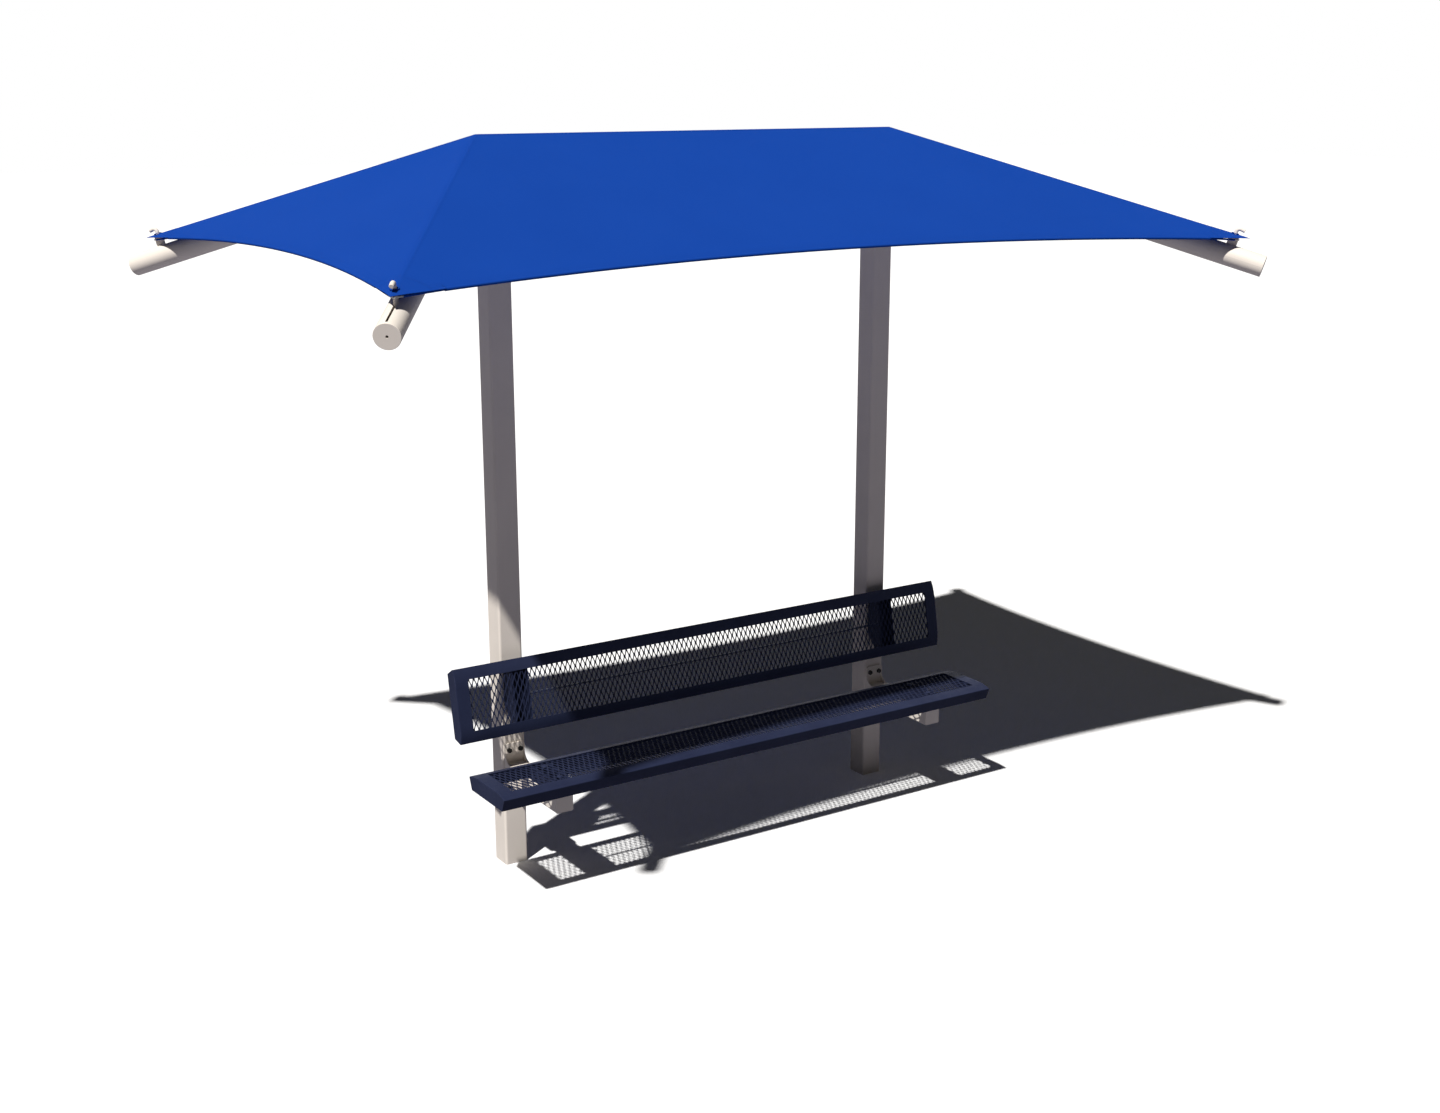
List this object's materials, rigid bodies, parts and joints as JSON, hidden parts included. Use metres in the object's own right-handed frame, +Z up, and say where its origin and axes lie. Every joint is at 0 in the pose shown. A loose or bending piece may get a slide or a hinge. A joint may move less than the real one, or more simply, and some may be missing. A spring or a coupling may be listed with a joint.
{
  "type": "shaded park bench",
  "caption": "Backed bench of coated expanded metal on two square posts that carry a hip-roofed fabric sunshade on round rafters with screw-tensioned corners.",
  "frame": {"origin": "on the ground, midway between the two posts", "axes": "+X along the bench, to the right seen from the front; -Y to the front, where a sitter faces; +Z up"},
  "size_m": [3.9408, 2.6678, 2.9693],
  "materials": {
    "almond_powder_coat": "smooth satin powder coat",
    "navy_coating": "thick smooth plastic dip coating over steel",
    "shade_fabric": "knitted shade cloth, matt",
    "galvanised_steel": "zinc plated or stainless, satin"
  },
  "bodies": {
    "frame": {"left_post": "almond_powder_coat", "right_post": "almond_powder_coat", "left_post_head": "almond_powder_coat", "right_post_head": "almond_powder_coat", "ridge_beam": "almond_powder_coat", "rafter_front_left": "almond_powder_coat", "rafter_front_right": "almond_powder_coat", "rafter_rear_left": "almond_powder_coat", "rafter_rear_right": "almond_powder_coat", "rafter_cap_front_left": "almond_powder_coat", "rafter_cap_front_right": "almond_powder_coat", "rafter_cap_rear_left": "almond_powder_coat", "rafter_cap_rear_right": "almond_powder_coat", "thrust_plates": "galvanised_steel", "canopy_front": "shade_fabric", "canopy_rear": "shade_fabric", "canopy_left": "shade_fabric", "canopy_right": "shade_fabric", "edge_cable": "galvanised_steel", "seat_frame": "navy_coating", "seat_mesh": "navy_coating", "seat_stringer": "navy_coating", "back_frame": "navy_coating", "back_mesh": "navy_coating", "back_stringer": "navy_coating", "left_seat_arm": "almond_powder_coat", "left_seat_bracket": "almond_powder_coat", "left_seat_saddle": "navy_coating", "left_back_bracket": "navy_coating", "right_seat_arm": "almond_powder_coat", "right_seat_bracket": "almond_powder_coat", "right_seat_saddle": "navy_coating", "right_back_bracket": "navy_coating", "arm_caps": "almond_powder_coat", "head_bolts": "galvanised_steel", "rafter_bolts": "galvanised_steel", "seat_bracket_bolts": "galvanised_steel", "arm_bolts": "galvanised_steel", "back_bolts": "galvanised_steel", "seat_bolts": "galvanised_steel", "lock_nuts": "galvanised_steel"},
    "tensioner_front_left": {"tension_hook_front_left": "almond_powder_coat", "canopy_corner_front_left": "shade_fabric", "cable_loop_front_left": "galvanised_steel"},
    "screw_front_left": {"tension_screw_front_left": "galvanised_steel"},
    "tensioner_front_right": {"tension_hook_front_right": "almond_powder_coat", "canopy_corner_front_right": "shade_fabric", "cable_loop_front_right": "galvanised_steel"},
    "screw_front_right": {"tension_screw_front_right": "galvanised_steel"},
    "tensioner_rear_left": {"tension_hook_rear_left": "almond_powder_coat", "canopy_corner_rear_left": "shade_fabric", "cable_loop_rear_left": "galvanised_steel"},
    "screw_rear_left": {"tension_screw_rear_left": "galvanised_steel"},
    "tensioner_rear_right": {"tension_hook_rear_right": "almond_powder_coat", "canopy_corner_rear_right": "shade_fabric", "cable_loop_rear_right": "galvanised_steel"},
    "screw_rear_right": {"tension_screw_rear_right": "galvanised_steel"}
  },
  "joints": [
    {"name": "tension_front_left", "type": "slide", "parent": "frame", "child": "tensioner_front_left", "axis": [-0.5731, -0.7686, -0.2843], "range_m": [-0.06, 0.02], "deforming": ["canopy_corner_front_left", "cable_loop_front_left"]},
    {"name": "screw_turn_front_left", "type": "hinge", "parent": "frame", "child": "screw_front_left", "pos_m": [-1.84689, -1.18846, 2.46535], "axis": [-0.5731, -0.7686, -0.2843], "range_deg": [-9360, 9360]},
    {"name": "tension_front_right", "type": "slide", "parent": "frame", "child": "tensioner_front_right", "axis": [0.5731, -0.7686, -0.2843], "range_m": [-0.06, 0.02], "deforming": ["canopy_corner_front_right", "cable_loop_front_right"]},
    {"name": "screw_turn_front_right", "type": "hinge", "parent": "frame", "child": "screw_front_right", "pos_m": [1.84689, -1.18846, 2.46535], "axis": [0.5731, -0.7686, -0.2843], "range_deg": [-9360, 9360]},
    {"name": "tension_rear_left", "type": "slide", "parent": "frame", "child": "tensioner_rear_left", "axis": [-0.5731, 0.7686, -0.2843], "range_m": [-0.06, 0.02], "deforming": ["canopy_corner_rear_left", "cable_loop_rear_left"]},
    {"name": "screw_turn_rear_left", "type": "hinge", "parent": "frame", "child": "screw_rear_left", "pos_m": [-1.84689, 1.18846, 2.46535], "axis": [-0.5731, 0.7686, -0.2843], "range_deg": [-9360, 9360]},
    {"name": "tension_rear_right", "type": "slide", "parent": "frame", "child": "tensioner_rear_right", "axis": [0.5731, 0.7686, -0.2843], "range_m": [-0.06, 0.02], "deforming": ["canopy_corner_rear_right", "cable_loop_rear_right"]},
    {"name": "screw_turn_rear_right", "type": "hinge", "parent": "frame", "child": "screw_rear_right", "pos_m": [1.84689, 1.18846, 2.46535], "axis": [0.5731, 0.7686, -0.2843], "range_deg": [-9360, 9360]}
  ],
  "couplings": [
    {"joint": "screw_turn_front_left", "follows": "tension_front_left", "rad_per_m": 2473.7},
    {"joint": "screw_turn_front_right", "follows": "tension_front_right", "rad_per_m": 2473.7},
    {"joint": "screw_turn_rear_left", "follows": "tension_rear_left", "rad_per_m": 2473.7},
    {"joint": "screw_turn_rear_right", "follows": "tension_rear_right", "rad_per_m": 2473.7}
  ]
}
